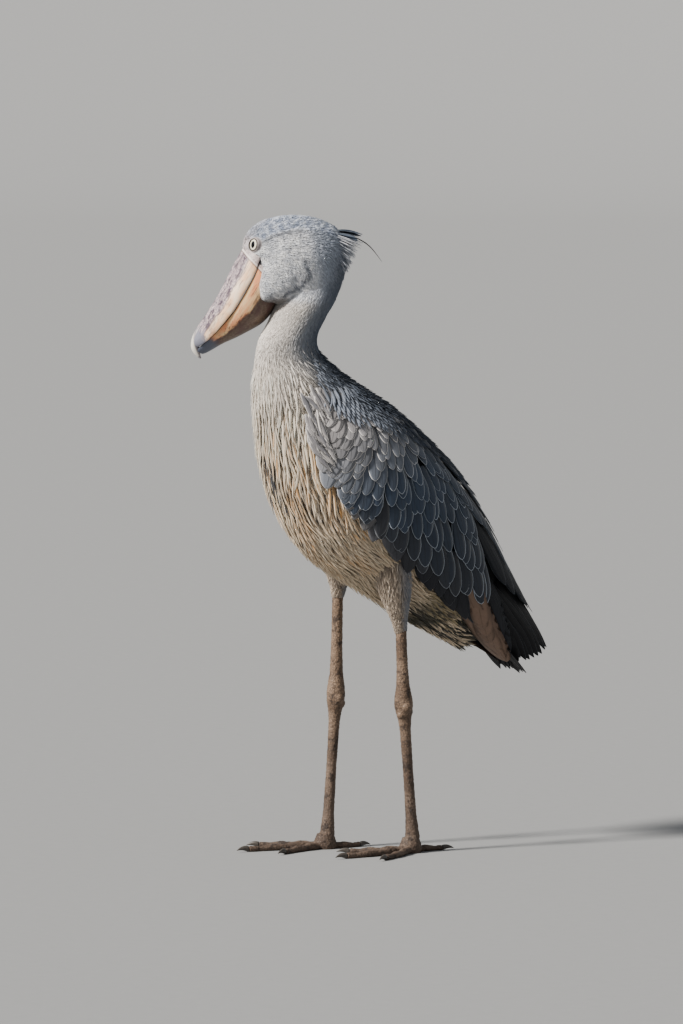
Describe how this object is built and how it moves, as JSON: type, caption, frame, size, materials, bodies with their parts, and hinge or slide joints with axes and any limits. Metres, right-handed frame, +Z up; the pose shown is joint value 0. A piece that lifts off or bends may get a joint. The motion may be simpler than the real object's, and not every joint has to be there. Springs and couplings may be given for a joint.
{
  "type": "shoebill",
  "caption": "Life-size still model of a standing shoebill, its head turned aside and its large hooked bill lowered, for display on a floor.",
  "frame": {"origin": "middle of the bird's own box, at the level of the soles of both feet", "axes": "+Z up, the bird's body faces -Y, +X is the bird's left"},
  "size_m": [0.3098, 0.6752, 1.1436],
  "materials": {
    "slate": "matte",
    "grey_feather": "matte",
    "breast": "matte",
    "flight": "satin",
    "horn": "satin",
    "nail": "satin",
    "eye": "gloss",
    "skin": "matte",
    "claw": "satin"
  },
  "bodies": {
    "root": {"head": "grey_feather", "neck": "grey_feather", "torso": "breast", "tail": "flight", "upper_bill": "horn", "lower_bill": "horn", "bill_hook": "nail", "eye_left": "eye", "wing_left": "slate", "thigh_left": "breast", "shank_left": "skin", "tarsus_left": "skin", "foot_left": "skin", "claw_inner_left": "claw", "claw_middle_left": "claw", "claw_outer_left": "claw", "claw_hind_left": "claw", "eye_right": "eye", "wing_right": "slate", "thigh_right": "breast", "shank_right": "skin", "tarsus_right": "skin", "foot_right": "skin", "claw_inner_right": "claw", "claw_middle_right": "claw", "claw_outer_right": "claw", "claw_hind_right": "claw"}
  },
  "joints": []
}
